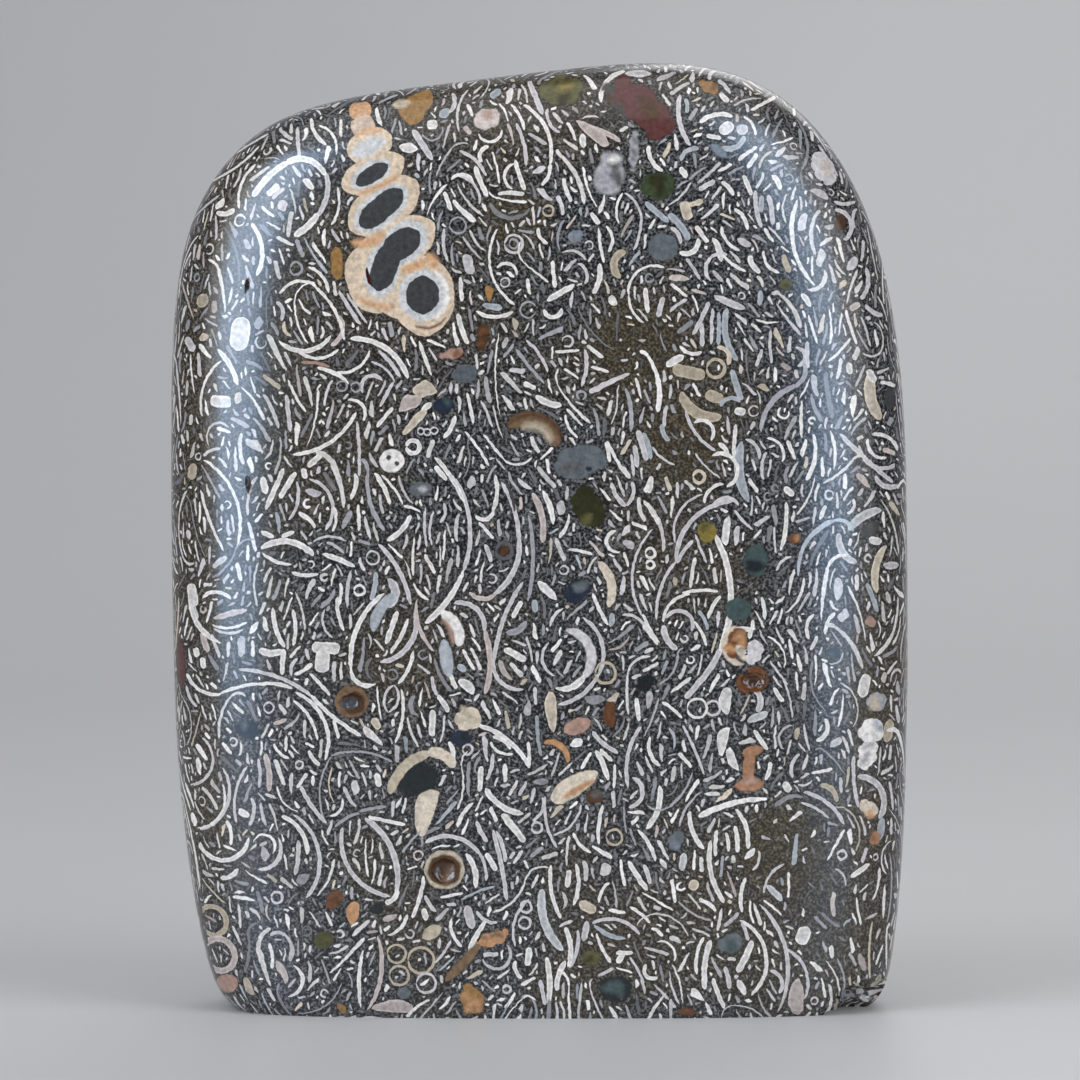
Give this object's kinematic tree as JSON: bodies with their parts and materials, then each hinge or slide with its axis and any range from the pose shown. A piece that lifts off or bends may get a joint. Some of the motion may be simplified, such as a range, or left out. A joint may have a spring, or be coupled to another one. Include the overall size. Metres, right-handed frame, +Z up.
{
  "type": "turritella agate freeform",
  "caption": "Free-standing polished block of dark fossil rock packed with pale broken shells, rounded all over and sawn flat underneath to stand upright.",
  "frame": {"origin": "middle of the sawn base, on the surface that the stone stands on", "axes": "+X to the right seen from the front, +Y away from the viewer through the stone's thickness, +Z up its height"},
  "size_m": [0.1171, 0.048, 0.15],
  "materials": {
    "stone": "polished"
  },
  "bodies": {
    "root": {"stone": "stone"}
  },
  "joints": []
}
